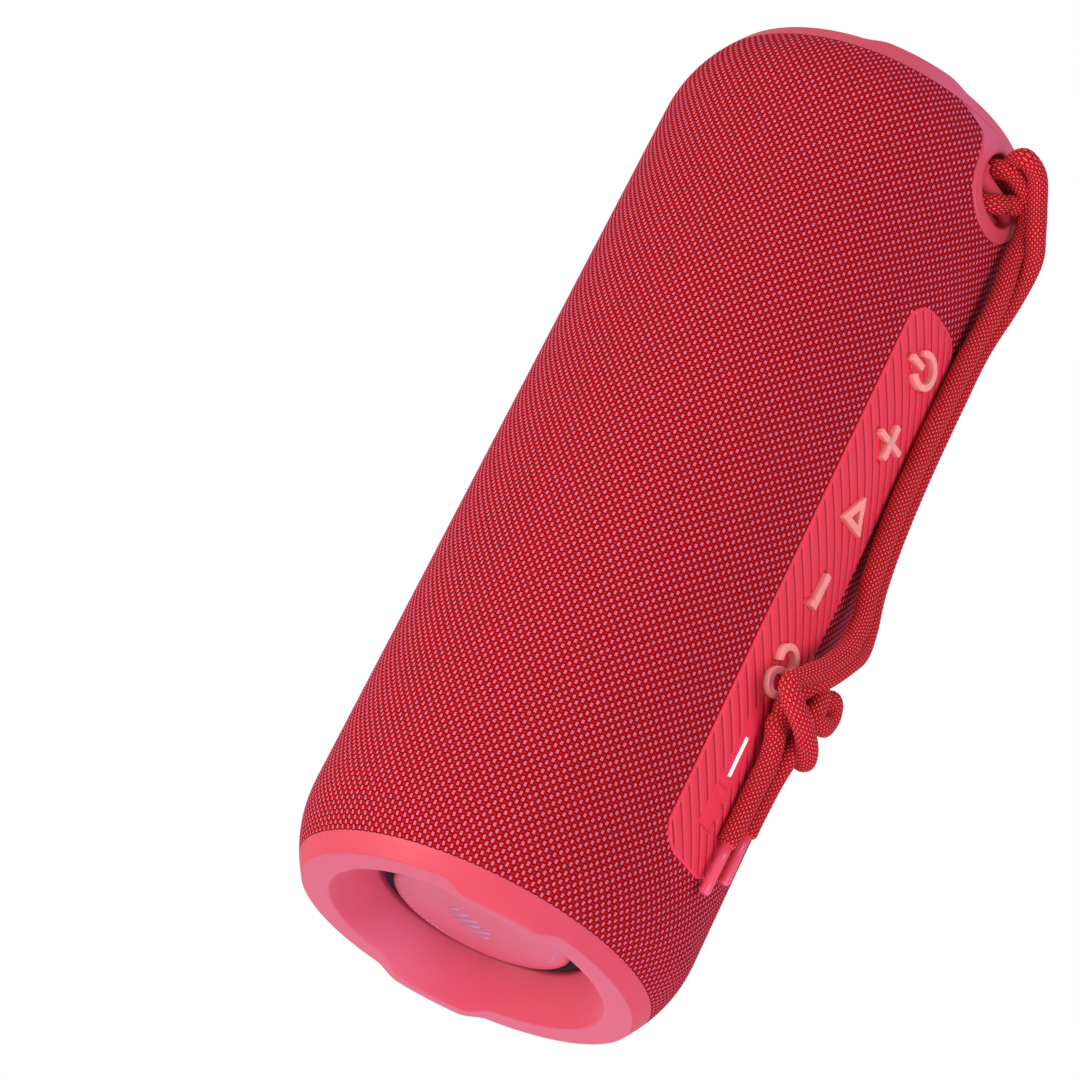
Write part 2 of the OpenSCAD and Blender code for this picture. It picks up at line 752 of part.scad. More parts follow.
module aglet_right() { aglet(RIGHT_TAIL[len(RIGHT_TAIL) - 1]); }
module aglet_left() { aglet(LEFT_TAIL[len(LEFT_TAIL) - 1]); }

// ---------- what is drawn ----------
fabric_sleeve();
grille_shell();
bottom_cap();
top_cap();
control_panel();
power_button();
plus_button();
play_button();
minus_button();
link_button();
light_bar();
port_plug();
usb_socket();
control_board();
button_switches();
status_leds();
bottom_radiator_plate();
bottom_radiator_weight();
bottom_surround();
bottom_radiator_frame();
top_radiator_plate();
top_radiator_weight();
top_surround();
top_radiator_frame();
cabinet_front();
cabinet_back();
cabinet_gasket();
lower_basket();
lower_top_plate();
lower_magnet();
lower_yoke();
lower_voice_coil();
lower_cone();
lower_cone_surround();
lower_dust_cap();
upper_basket();
upper_top_plate();
upper_magnet();
upper_yoke();
upper_voice_coil();
upper_cone();
upper_cone_surround();
upper_dust_cap();
battery_cells();
battery_tray();
main_board();
board_parts();
wire_harness();
radiator_screws();
driver_screws();
main_board_screws();
control_board_screws();
lanyard_hitch();
strand_right();
strand_left();
lanyard_knot();
tail_right();
tail_left();
aglet_right();
aglet_left();
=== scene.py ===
# %% [markdown]
# # A small loudspeaker in woven cloth
# The object is a cylinder 84 mm across and 212 mm long. Its skin is a woven
# polyester sleeve, its ends are moulded caps with a wavy rim and a funnel,
# a ribbed rubber panel carries five keys, and a knotted lanyard hangs from an
# eyelet. The measured frame of the object is loaded first, and every piece made
# here is placed in that frame, in metres.

# %% Load the frame
import math

import bmesh
import bpy
import numpy as np
from mathutils import Matrix


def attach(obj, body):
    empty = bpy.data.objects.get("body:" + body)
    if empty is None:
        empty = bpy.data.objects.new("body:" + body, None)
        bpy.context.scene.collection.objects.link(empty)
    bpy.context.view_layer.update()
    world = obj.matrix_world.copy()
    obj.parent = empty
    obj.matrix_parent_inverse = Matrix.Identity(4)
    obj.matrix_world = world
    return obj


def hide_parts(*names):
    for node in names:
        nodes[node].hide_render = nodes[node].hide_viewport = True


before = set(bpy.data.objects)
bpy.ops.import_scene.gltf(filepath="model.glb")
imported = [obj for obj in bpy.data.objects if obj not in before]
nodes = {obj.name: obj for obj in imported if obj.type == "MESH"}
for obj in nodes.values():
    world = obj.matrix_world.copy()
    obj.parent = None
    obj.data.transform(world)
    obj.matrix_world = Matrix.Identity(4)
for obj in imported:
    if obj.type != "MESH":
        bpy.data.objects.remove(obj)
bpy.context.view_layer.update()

# %% [markdown]
# ## Camera
# The object is seen from its left and from below, so that the lower rim and its
# funnel open towards the eye, and the long axis leans to the right. A long lens
# keeps the two ends nearly the same width. The camera's axes are worked out from
# where it stands and what it looks at, and then rolled.

# %% Camera
MM = 0.001
BODY_R = 42.0
BODY_L = 212.0
stand = np.array([-549.1, -501.4, -238.5])
target = np.array([-16.1, 17.6, 88.5])
ROLL = math.radians(27.04)
LENS, SENSOR = 130.8, 36.0


def unit(v):
    """The same directions with length one, along the last axis."""
    return v / np.linalg.norm(v, axis=-1, keepdims=True)


def place(obj, axes, spot):
    """Links an object into the scene with its axes along three directions, at a spot in mm."""
    pose = Matrix.Identity(4)
    for column, axis in enumerate((*axes, spot * MM)):
        for row in range(3):
            pose[row][column] = axis[row]
    obj.matrix_world = pose
    bpy.context.scene.collection.objects.link(obj)


ahead = unit(target - stand)
level = unit(np.cross(ahead, [0.0, 0.0, 1.0]))
upright = np.cross(level, ahead)
image_right = math.cos(ROLL) * level + math.sin(ROLL) * upright
image_up = -math.sin(ROLL) * level + math.cos(ROLL) * upright

camera_data = bpy.data.cameras.new("camera")
camera_data.lens, camera_data.sensor_width = LENS, SENSOR
camera_data.clip_start, camera_data.clip_end = 0.01, 20
camera = bpy.data.objects.new("camera", camera_data)
place(camera, (image_right, image_up, -ahead), stand)
bpy.context.scene.camera = camera
print("camera at", np.round(stand), "mm")

# %% [markdown]
# ## Turning numbers into surfaces
# Nearly every piece here is a sheet of points with two directions, rows and
# columns. One function stitches such a sheet into faces, can join its last
# column to its first, and can close its two ends. A second one puts the parts of
# a piece into one mesh and lets it ride on its body.

# %% Surface helpers
def sheet_of(points, around=False, along=False, lids=False, uv=None, keep=None):
    """(vertices, faces, corner uvs) of a rows x columns x 3 array of points in mm.
    Face (i, j) joins points (i, j), (i, j+1), (i+1, j+1) and (i+1, j)."""
    rows, cols = points.shape[:2]
    i, j = np.meshgrid(np.arange(rows - (not along)), np.arange(cols - (not around)), indexing="ij")
    i, j = i.ravel(), j.ravel()
    if keep is not None:
        i, j = i[keep], j[keep]
    corners = ((i, j), (i, j + 1), (i + 1, j + 1), (i + 1, j))
    faces = np.stack([a % rows * cols + b % cols for a, b in corners], -1).tolist()
    flat = np.zeros((len(faces), 4, 2)) if uv is None else np.stack([uv[a, b] for a, b in corners], 1)
    flat = flat.reshape(-1, 2)
    if lids:
        faces += [list(range(cols - 1, -1, -1)), list(range((rows - 1) * cols, rows * cols))]
        flat = np.concatenate([flat, np.zeros((2 * cols, 2))])
    return points.reshape(-1, 3), faces, flat


def clean(mesh, merge=0.0):
    """Merges points closer than merge metres, and turns the faces of closed parts outwards."""
    work = bmesh.new()
    work.from_mesh(mesh)
    if merge:
        bmesh.ops.remove_doubles(work, verts=work.verts, dist=merge)
    bmesh.ops.recalc_face_normals(work, faces=work.faces)
    work.to_mesh(mesh)
    work.free()


def piece(name, parts, body, material, replaces=(), outward=True, sharp=None):
    """One object from the parts that sheet_of made, in metres, riding on a body.
    outward turns every closed part's faces outwards; sharp is the crease angle in degrees."""
    verts, faces, flat, start = [], [], [], 0
    for points, part_faces, part_uv in parts:
        verts.append(points)
        faces += [[start + v for v in face] for face in part_faces]
        flat.append(part_uv)
        start += len(points)
    mesh = bpy.data.meshes.new(name)
    mesh.from_pydata((np.concatenate(verts) * MM).tolist(), [], faces)
    layer = mesh.uv_layers.new(name="UVMap")
    layer.data.foreach_set("uv", np.concatenate(flat).astype(np.float32).ravel())
    if outward:
        clean(mesh)
    mesh.polygons.foreach_set("use_smooth", [True] * len(mesh.polygons))
    if sharp:
        mesh.set_sharp_from_angle(angle=math.radians(sharp))
    mesh.update()
    obj = bpy.data.objects.new(name, mesh)
    bpy.context.scene.collection.objects.link(obj)
    mesh.materials.append(material)
    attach(obj, body)
    if replaces:
        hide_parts(*replaces)
    print(f"{name}: {len(mesh.vertices)} vertices, {len(mesh.polygons)} faces")
    return obj


def bevel(obj, width, segments=3, angle=35):
    """Rounds every edge sharper than angle degrees by width mm."""
    modifier = obj.modifiers.new("edge rounding", "BEVEL")
    modifier.width, modifier.segments = width * MM, segments
    modifier.limit_method, modifier.angle_limit = "ANGLE", math.radians(angle)
    modifier.harden_normals = True
    return obj


def smoothstep(low, high, value):
    """0 below low, 1 above high, and 3t^2 - 2t^3 between."""
    t = np.clip((value - low) / (high - low), 0, 1)
    return t * t * (3 - 2 * t)


def polar(radius, angle, z):
    """Points from radius in mm, angle in degrees to the right of straight ahead, and height."""
    angle = np.radians(angle)
    return np.stack(np.broadcast_arrays(radius * np.sin(angle), -radius * np.cos(angle), z), -1)


# %% [markdown]
# ## Turning real finishes into nodes
# A material starts with its base shader, whose constant values are set straight on
# its sockets. Patterns are added with one small function that makes a node, sets
# it up and links it. Colours are written as they look on a screen, and one
# function turns them into the linear values that light is worked out in.

# %% Material helpers
def linear(code):
    """Linear red, green, blue and alpha of an sRGB hex colour."""
    values = [int(code[i:i + 2], 16) / 255 for i in (0, 2, 4)]
    return [v / 12.92 if v <= 0.04045 else ((v + 0.055) / 1.055) ** 2.4 for v in values] + [1.0]


def finish(name, colour, **sockets):
    """A material named for its stuff and process, with constants on its shader's sockets."""
    material = bpy.data.materials.new(name)
    material.use_nodes = True
    shader = material.node_tree.nodes["Principled BSDF"]
    shader.inputs["Base Color"].default_value = linear(colour)
    for socket, value in sockets.items():
        shader.inputs[socket.replace("_", " ")].default_value = value
    return material


def add(material, kind, inputs=None, **settings):
    """Adds a node, sets its properties, and fills or links its inputs by name or number."""
    node = material.node_tree.nodes.new(kind)
    for key, value in settings.items():
        setattr(node, key, value)
    for key, value in (inputs or {}).items():
        if isinstance(value, bpy.types.NodeSocket):
            material.node_tree.links.new(value, node.inputs[key])
        else:
            node.inputs[key].default_value = value
    return node


def maths(material, operation, *values):
    """The output of one arithmetic step on sockets or numbers."""
    return add(material, "ShaderNodeMath", dict(enumerate(values)), operation=operation).outputs[0]


def ramp(material, value, low, high):
    """0 to 1 as value goes smoothly from low to high."""
    node = add(material, "ShaderNodeMapRange", {"Value": value, "From Min": low, "From Max": high},
               interpolation_type="SMOOTHSTEP")
    return node.outputs["Result"]


def blend_colours(material, share, first, second):
    """A colour that goes from first to second as share goes from 0 to 1."""
    node = add(material, "ShaderNodeMix", data_type="RGBA")
    for name, value in (("Factor_Float", share), ("A_Color", first), ("B_Color", second)):
        socket = next(s for s in node.inputs if s.identifier == name)
        if isinstance(value, bpy.types.NodeSocket):
            material.node_tree.links.new(value, socket)
        else:
            socket.default_value = linear(value) if isinstance(value, str) else value
    return next(s for s in node.outputs if s.identifier == "Result_Color")


def feed(material, **sockets):
    """Links patterns into the base shader's sockets."""
    shader = material.node_tree.nodes["Principled BSDF"]
    for name, value in sockets.items():
        material.node_tree.links.new(value, shader.inputs[name.replace("_", " ")])


def noise(material, size, detail=2.0):
    """Soft noise from 0 to 1 whose blobs are about size mm across."""
    where = add(material, "ShaderNodeTexCoord").outputs["Object"]
    inputs = {"Vector": where, "Scale": 1 / (size * MM), "Detail": detail}
    return add(material, "ShaderNodeTexNoise", inputs).outputs["Fac"]


def bump(material, height, depth):
    """A normal from a height of 0 to 1 that stands for depth mm."""
    inputs = {"Height": height, "Strength": 1.0, "Distance": depth * MM}
    return add(material, "ShaderNodeBump", inputs).outputs["Normal"]


# %% [markdown]
# ## Woven and braided polyester
# The sleeve is a plain weave of two yarns. The pink yarn runs along the body and
# the deep red one around it, so that their floats make a chequerboard of oblong
# flecks with dark holes between them. The lanyard is a round braid, and unrolled
# it shows the same chequerboard in a finer size. So one pattern serves both. It
# reads the piece's own map, where one unit is one repeat of the weave.

# %% Cloth materials
def chequer_weave(material, ground, fleck, gap, across, along, fibres):
    """Colours and relief of a weave on the UV map, from a = cos(2 pi u) and b = cos(2 pi v).
    Where ab > 0 a pink float shows, where |a| and |b| are past the limits across and along;
    where ab < 0 a red float shows, with the limits the other way round."""
    where = add(material, "ShaderNodeUVMap").outputs["UV"]
    wobble = add(material, "ShaderNodeTexNoise", {"Vector": where, "Scale": 1.7, "Detail": 1.0})
    wobble = wobble.outputs["Color"]
    wobble = add(material, "ShaderNodeVectorMath", {0: wobble, 1: (0.5, 0.5, 0.5)},
                 operation="SUBTRACT").outputs[0]
    where = add(material, "ShaderNodeVectorMath", {0: wobble, 1: (0.1, 0.1, 0.0), 2: where},
                operation="MULTIPLY_ADD").outputs[0]
    split = add(material, "ShaderNodeSeparateXYZ", {0: where}).outputs
    a, b = [maths(material, "COSINE", maths(material, "MULTIPLY", split[n], 2 * math.pi)) for n in (0, 1)]
    over = ramp(material, maths(material, "MULTIPLY", a, b), -0.05, 0.05)
    wide, long = maths(material, "ABSOLUTE", a), maths(material, "ABSOLUTE", b)
    pink = maths(material, "MULTIPLY", ramp(material, wide, *across), ramp(material, long, *along))
    pink = maths(material, "MULTIPLY", pink, over)
    red = maths(material, "MULTIPLY", ramp(material, long, *across), ramp(material, wide, *along))
    red = maths(material, "MULTIPLY", red, maths(material, "SUBTRACT", 1.0, over))
    fibre = maths(material, "SINE", maths(material, "MULTIPLY", split[0], fibres))
    fibre = maths(material, "MULTIPLY_ADD", fibre, 0.5, 0.5)
    tone = add(material, "ShaderNodeTexNoise", {"Vector": where, "Scale": 0.9, "Detail": 3.0}).outputs["Fac"]
    colour = blend_colours(material, red, gap, blend_colours(material, tone, *ground))
    feed(material, Base_Color=blend_colours(material, pink, colour, blend_colours(material, fibre, *fleck)))
    return maths(material, "MULTIPLY_ADD", fibre, 0.12, maths(material, "ADD", pink, red))


sleeve_cloth = finish("polyester plain weave, two yarns", "B01018", Roughness=0.85, Specular_IOR_Level=0.08)
relief = chequer_weave(sleeve_cloth, ("AE0608", "C40C10"), ("D04C70", "E8708C"), "720408",
                       across=(0.4, 0.62), along=(0.05, 0.3), fibres=60.0)
feed(sleeve_cloth, Normal=bump(sleeve_cloth, relief, 0.12))

cord_braid = finish("polyester round braid", "B81420", Roughness=0.78, Specular_IOR_Level=0.12)
relief = chequer_weave(cord_braid, ("C61016", "DA1C22"), ("EA4E5A", "F86C76"), "8C060E",
                       across=(0.35, 0.75), along=(0.1, 0.5), fibres=40.0)
feed(cord_braid, Normal=bump(cord_braid, relief, 0.08))

# %% [markdown]
# ## The lanyard
# One round cord is folded in half. Its bight lies below the bar in the eyelet,
# both halves go up behind the bar and over it, and fall side by side to the right
# of the panel. There they are tied in one overhand knot and end in moulded tips.
# A cord is drawn as a route of points, a smooth line through them, and a ring of
# points carried along that line. The ring's frame is turned as little as possible
# from step to step, so the braid doesn't spiral.

# %% Cord routes and the tube that follows them
CORD_D = 4.4
BRAID_REPEAT, BRAIDS_AROUND, YARN_RELIEF = 1.15, 12, 0.07
TUCK_LONG, TUCK_IN = 0.9, 0.35      # a cut end narrows by this share over this many mm


def smooth_line(knots, step):
    """Points every step mm along a Catmull-Rom curve through the knots."""
    p = np.vstack([2 * knots[0] - knots[1], knots, 2 * knots[-1] - knots[-2]])
    t = np.linspace(0, 1, 40, endpoint=False)[:, None]
    pieces = []
    for a, b, c, d in zip(p[:-3], p[1:-2], p[2:-1], p[3:]):
        pieces.append(0.5 * (2 * b + (c - a) * t + (2 * a - 5 * b + 4 * c - d) * t ** 2
                             + (3 * b - a - 3 * c + d) * t ** 3))
    line = np.vstack(pieces + [knots[-1:]])
    reach = np.concatenate([[0], np.cumsum(np.linalg.norm(np.diff(line, axis=0), axis=1))])
    at = np.linspace(0, reach[-1], max(int(round(reach[-1] / step)), 2) + 1)
    return np.stack([np.interp(at, reach, line[:, n]) for n in range(3)], 1), reach[-1]


def frames_along(line):
    """Two directions across the line at each point, carried along with the least turning."""
    ahead_of = unit(np.gradient(line, axis=0))
    side = np.zeros_like(line)
    guide = np.cross(ahead_of[0], [0.3, 1.0, 0.2])
    for n, direction in enumerate(ahead_of):
        guide = unit(guide - (guide @ direction) * direction)
        side[n] = guide
    return side, np.cross(ahead_of, side)


def braided_tube(line, long):
    """A ring of radius d/2 + e cos(2 pi u) cos(2 pi v) carried along the line, where u counts
    the braid's repeats around and v along, and e is the relief of the yarns."""
    side, other = frames_along(line)
    u = np.linspace(0, BRAIDS_AROUND, 4 * BRAIDS_AROUND + 1)
    v = np.linspace(0, long / BRAID_REPEAT, len(line))
    u, v = np.meshgrid(u, v)
    radius = CORD_D / 2 - 0.05 + YARN_RELIEF * np.cos(2 * np.pi * u) * np.cos(2 * np.pi * v)
    tuck = np.minimum(v, v[-1, 0] - v) * BRAID_REPEAT / TUCK_LONG
    radius *= 1 - TUCK_IN * np.maximum(1 - tuck, 0) ** 2
    angle = u / BRAIDS_AROUND * 2 * np.pi
    points = line[:, None] + radius[..., None] * (side[:, None] * np.cos(angle)[..., None]
                                                  + other[:, None] * np.sin(angle)[..., None])
    return sheet_of(points[:, :-1], around=True, lids=True, uv=np.stack([u, v], -1))


def on_body(route):
    """Knots in mm from [angle right of straight ahead, distance from the axis, height]."""
    route = np.array(route, float)
    return polar(route[:, 1], route[:, 0], route[:, 2])


HITCH_RIGHT = [[1.0, -42.9, 192.8], [3.8, -43.4, 194.9], [5.2, -42.0, 197.4], [4.4, -38.8, 198.9],
               [2.4, -36.9, 199.3], [0.5, -38.2, 200.0], [-1.2, -41.0, 201.0], [-3.6, -44.8, 201.5],
               [-3.9, -47.3, 200.9], [0.2, -48.2, 199.7], [5.2, -47.6, 195.6], [8.2, -47.9, 190.8]]
HITCH_LEFT = [[1.0, -42.9, 192.8], [-1.6, -41.6, 190.9], [-3.3, -38.6, 190.4], [-3.4, -36.2, 192.0],
              [-3.2, -35.2, 194.4], [-3.2, -35.7, 196.9], [-3.6, -38.2, 198.4], [-3.6, -41.0, 198.6],
              [-1.2, -43.5, 198.8], [3.5, -44.8, 197.2], [7.5, -44.6, 193.6], [9.4, -44.0, 189.5]]
FALL_RIGHT = [[14, 48.8, 186], [17.2, 47.2, 177], [18, 45.2, 164], [18, 44.9, 150], [18, 44.9, 132],
              [19, 45.2, 116], [21, 45.9, 104], [22.5, 47.2, 96], [20, 48.4, 89.5]]
FALL_LEFT = [[11.6, 45.2, 184], [11.6, 46.0, 178], [12, 46.2, 171], [12.3, 45.2, 160], [12.3, 44.9, 148],
             [12.3, 44.9, 132], [13, 45.2, 116], [14.6, 45.9, 104], [15.6, 47.3, 95], [12, 48.6, 86.5]]
KNOT_LEFT = [[6, 49.2, 79], [-1, 49.6, 72.5], [-5, 50, 68.5], [-3.6, 51.4, 65.4], [2, 52, 63],
             [8.5, 51.4, 61.4], [14.5, 49.4, 60.8], [17, 46.6, 62.6], [16, 45.2, 66.6], [14.5, 46, 72],
             [18.5, 47.6, 76.6], [21.6, 48.0, 75.0], [21.6, 47.8, 72.2], [16, 48.6, 69.8], [8, 47.6, 68],
             [4, 46.8, 66.2], [2.6, 45.8, 63], [4.4, 46, 59.6]]
TAIL_LEFT = [[6.2, 45.8, 55.4], [7.4, 45, 50], [7.8, 44.8, 45], [7.8, 44.7, 40.5], [7.8, 44.6, 36.5]]
KNOT_RIGHT = [[15, 49, 84.5], [8.5, 49, 77.5], [3.5, 48.4, 72.6], [2.5, 46, 68], [5.5, 44.8, 64.6],
              [11, 44.8, 63.4], [17.5, 45, 66], [20.5, 45, 71], [18.5, 45, 76], [13, 46, 76.4],
              [9.5, 48.6, 73], [8.8, 49.4, 68.4], [9.4, 48.8, 63.4]]
TAIL_RIGHT = [[11.4, 46.8, 58.4], [13.6, 45.3, 54], [14.3, 44.8, 49.6], [14.4, 44.6, 45.5],
              [14.4, 44.6, 41.7]]

# %% The two halves of the cord
STEP = BRAID_REPEAT / 4
halves = {"right": np.vstack([HITCH_RIGHT, on_body(FALL_RIGHT + KNOT_RIGHT + TAIL_RIGHT)]),
          "left": np.vstack([HITCH_LEFT, on_body(FALL_LEFT + KNOT_LEFT + TAIL_LEFT)])}
lines, cords = {}, {}
for name, knots in halves.items():
    lines[name], length = smooth_line(knots, STEP)
    nodes_of = {"right": ("strand_right", "tail_right", "lanyard_hitch"),
                "left": ("strand_left", "tail_left", "lanyard_knot")}[name]
    cords[name] = piece(f"lanyard_{name}_half", [braided_tube(lines[name], length)], "housing", cord_braid,
                        replaces=nodes_of)
    print(f"{name} half of the cord: {length:.1f} mm")

# %% [markdown]
# ## Cord tips
# Each end is held in a tinted moulded tip. It is a turned outline, a plain stem with
# a rounded end, carried round the line that the cord ends on.

# %% Turned pieces and the two tips
tip_plastic = finish("acetate cord tip, moulded", "F0506E", Roughness=0.3, Subsurface_Weight=0.25,
                     Subsurface_Scale=0.002, Coat_Weight=0.3, Coat_Roughness=0.15)


def turned(profile, segments, start=(0, 0, 0), axis=(0, 0, 1), lids=True):
    """The outline of [radius, distance] points turned round an axis through start."""
    profile = np.array(profile, float)
    axis = unit(np.array(axis, float))
    side = unit(np.cross(axis, [0.2, 1.0, 0.1]))
    other = np.cross(axis, side)
    angle = np.linspace(0, 2 * np.pi, segments, endpoint=False)
    ring = side * np.cos(angle)[:, None] + other * np.sin(angle)[:, None]
    points = np.array(start) + profile[:, :1, None] * ring + profile[:, 1:, None] * axis
    return sheet_of(points, around=True, lids=lids)


AGLET_R = 1.2
tip_profile = [[0.1, -2], [AGLET_R, -2], [AGLET_R, 10.3], [1.12, 10.7], [0.9, 10.93], [0.1, 11.0]]
for name, line in lines.items():
    tip = turned(tip_profile, 32, line[-1], line[-1] - line[-8])
    piece(f"lanyard_{name}_tip", [tip], "housing", tip_plastic, replaces=(f"aglet_{name}",))

# %% [markdown]
# ## The woven sleeve
# The sleeve is a tube of cloth stretched over the body, a little narrower at both
# ends. Its outline is carried round the axis. Rows and columns are counted so that
# every float of the weave gets one point: the floats stand out a little and the
# crossings lie lower, as in the real cloth. The cloth stops under the panel and
# under the lobe of the eyelet, where its faces are left out.

# %% Sleeve
SEAM, SHOULDER, DROP = 5.5, 20.0, 3.5
REPEAT_AROUND, REPEAT_ALONG = 143, 1.955
FLOAT_RELIEF = 0.07
PANEL_Z, PANEL_LONG, PANEL_WIDE, PANEL_CORNER = 94.128, 133.0, 19.0, 6.5
EYE_Z = 195.6
LOBE_HALF, LOBE_DOWN, LOBE_UP = 10.5, 11.6, 11.7
FLARE_WIDE, FLARE_AT, FLARE_RUN = 5.2, 10.9, 1.9


def skin(z):
    """R - drop ((shoulder - e) / (shoulder - seam))^2.2, with e the distance to the nearer end."""
    end = np.minimum(z, BODY_L - z)
    return BODY_R - DROP * (np.maximum(SHOULDER - end, 0) / (SHOULDER - SEAM)) ** 2.2


def inside_of(s, z, wide, long, corner):
    """How far inside a rounded rectangle a point is, in mm."""
    over_s, over_z = np.abs(s) - wide / 2 + corner, np.abs(z) - long / 2 + corner
    past_corner = np.hypot(np.maximum(over_s, 0), np.maximum(over_z, 0))
    return corner - past_corner - np.minimum(np.maximum(over_s, over_z), 0)


def lobe_half(dz):
    """Half the lobe's width at dz mm above the pocket's middle: an ellipse below it, and above
    it half + wide e^((dz - at) / run), which spreads into the band."""
    below = LOBE_HALF * np.sqrt(np.maximum(1 - (np.minimum(dz, 0) / LOBE_DOWN) ** 2, 0))
    return below + FLARE_WIDE * np.exp((np.minimum(dz, 12) - FLARE_AT) / FLARE_RUN) * (dz > 0)


heights = np.linspace(SEAM - 0.25, BODY_L - SEAM + 0.25, 4001)
climb = np.concatenate([[0], np.cumsum(np.hypot(np.diff(heights), np.diff(skin(heights))))])
sleeve_rows = int(round(climb[-1] / REPEAT_ALONG * 2)) + 1
row_z = np.interp(np.linspace(0, climb[-1], sleeve_rows), climb, heights)
row, column = np.meshgrid(np.arange(sleeve_rows), np.arange(2 * REPEAT_AROUND + 1), indexing="ij")
sleeve_uv = np.stack([column / 2, row / 2], -1)
lift = FLOAT_RELIEF * np.cos(np.pi * column) * np.cos(np.pi * row)
angle = column / (2 * REPEAT_AROUND) * 360 - 180
cloth = polar(skin(row_z)[:, None] - FLOAT_RELIEF + lift, angle, row_z[:, None] + 0 * angle)
middle = (cloth[:-1, :-1] + cloth[1:, 1:]).reshape(-1, 3) / 2
front = middle[:, 1] < 0
in_panel = inside_of(middle[:, 0], middle[:, 2] - PANEL_Z, PANEL_WIDE, PANEL_LONG, PANEL_CORNER)
under_panel = front & (in_panel > 0.7)
under_lobe = front & (np.abs(middle[:, 0]) < lobe_half(middle[:, 2] - EYE_Z) - 0.9)
sleeve_part = sheet_of(cloth[:, :-1], around=True, uv=sleeve_uv, keep=~(under_panel | under_lobe))
sleeve = piece("woven_sleeve", [sleeve_part], "housing", sleeve_cloth, replaces=("fabric_sleeve",),
               outward=False)

# %% [markdown]
# ## End caps
# Each cap is one moulding: an outer wall that carries on the curve of the sleeve,
# a flat rim, a funnel that narrows to the radiator, and a spigot inside the
# sleeve. Its outline is carried round the axis. Two feet stand out of the rim, on
# one line through the axis. They come from lifting the outline: away from that
# line no point may lie lower than a plateau, and the change is a smooth slope.

# %% Cap material and the ring of a cap
FOOT_ANGLE, FOOT_HALF, FOOT_RUN, FOOT_HIGH = 47.0, 7.0, 6.0, 1.7
THROAT, THROAT_R, RIM_IN = 10.0, 23.0, 31.9

cap_plastic = finish("polycarbonate cap, moulded with a satin grain", "D2465A", Roughness=0.45,
                     Subsurface_Weight=0.1, Subsurface_Scale=0.003, Specular_IOR_Level=0.4)
feed(cap_plastic, Base_Color=blend_colours(cap_plastic, noise(cap_plastic, 9.0), "CE4258", "D84E60"),
     Normal=bump(cap_plastic, noise(cap_plastic, 0.35, 1.0), 0.012))


def funnel_r(z):
    """throat + (rim - throat) ((depth - z) / depth)^1.15."""
    return THROAT_R + (RIM_IN - THROAT_R) * (np.maximum(THROAT - z, 0) / THROAT) ** 1.15


def rim_height(x, y):
    """0 on the feet's line and the plateau's height away from it, with a smooth slope between."""
    a = math.radians(FOOT_ANGLE)
    across = np.abs(x * math.sin(a) - y * math.cos(a))
    return FOOT_HIGH * smoothstep(FOOT_HALF, FOOT_HALF + FOOT_RUN, across)


def cap_outline():
    """[radius, height] points: outer wall, rim, funnel, throat, and back round the inside."""
    wall = np.array([[38.5, 5.5], [38.0, 4.6], [37.5, 3.8], [36.95, 2.9], [36.5, 2.2], [36.1, 1.5],
                     [35.8, 1.0], [35.4, 0.4], [35.1, 0.0]])
    at = np.linspace(0, 8, 57)
    wall = np.stack([np.interp(at, np.arange(9), wall[:, n]) for n in (0, 1)], 1)
    wall[1:-1] = (wall[:-2] + 2 * wall[1:-1] + wall[2:]) / 4
    rim = [[r, 0.0] for r in np.linspace(33.95, 32.0, 12)]
    funnel = [[funnel_r(z), z] for z in THROAT * np.linspace(0, 1, 60) ** 1.5]
    inside = [[THROAT_R, 10.6], [THROAT_R, 11.5], [25, 11.5], [30.4, 5], [33, 5], [33.6, 6.6], [33.6, 16],
              [35.6, 16], [35.6, 6.4], [37.3, 6.4], [37.3, 5.5]]
    return np.array(wall.tolist() + rim + funnel + inside)


def cap_ring(segments=540):
    """The outline turned round Z. Each height z is raised to the soft maximum of z and the
    rim's height, so the rim is a flat face with crisp edges."""
    outline = cap_outline()
    angle = np.linspace(0, 2 * np.pi, segments, endpoint=False)
    r, a = np.meshgrid(outline[:, 0], angle, indexing="ij")
    z = np.broadcast_to(outline[:, 1:], r.shape)
    x, y = r * np.cos(a), r * np.sin(a)
    floor, soft = rim_height(x, y), 0.16
    raised = (z + floor + np.sqrt((z - floor) ** 2 + soft ** 2)) / 2
    z = raised + (z - raised) * smoothstep(2.2, 3.2, z)
    return np.stack([x, y, z], -1)


# %% Bottom cap
piece("bottom_cap_moulding", [sheet_of(cap_ring(), around=True, along=True)], "housing", cap_plastic,
      replaces=("bottom_cap",), sharp=50)

# %% [markdown]
# ## The eyelet
# The upper cap is the lower one turned over, with a lobe that comes down over the
# cloth. The lobe has a round pocket, and a bar crosses it to hold the lanyard. The
# lobe is drawn as rings round the pocket's middle: up its wall, over a rounded
# lip, across its face, over the outer edge and down to the cloth. The outermost
# ring follows an ellipse below and spreads into the cap's band above, where its
# face sinks just under the band's so that the two run into one.

# %% Top cap with its lobe and bar
POCKET_R, POCKET_FLOOR, LIP = 7.8, 32.4, 0.8
BAR_Y, BAR_Z, BAR_R = 39.4, 194.6, 1.9


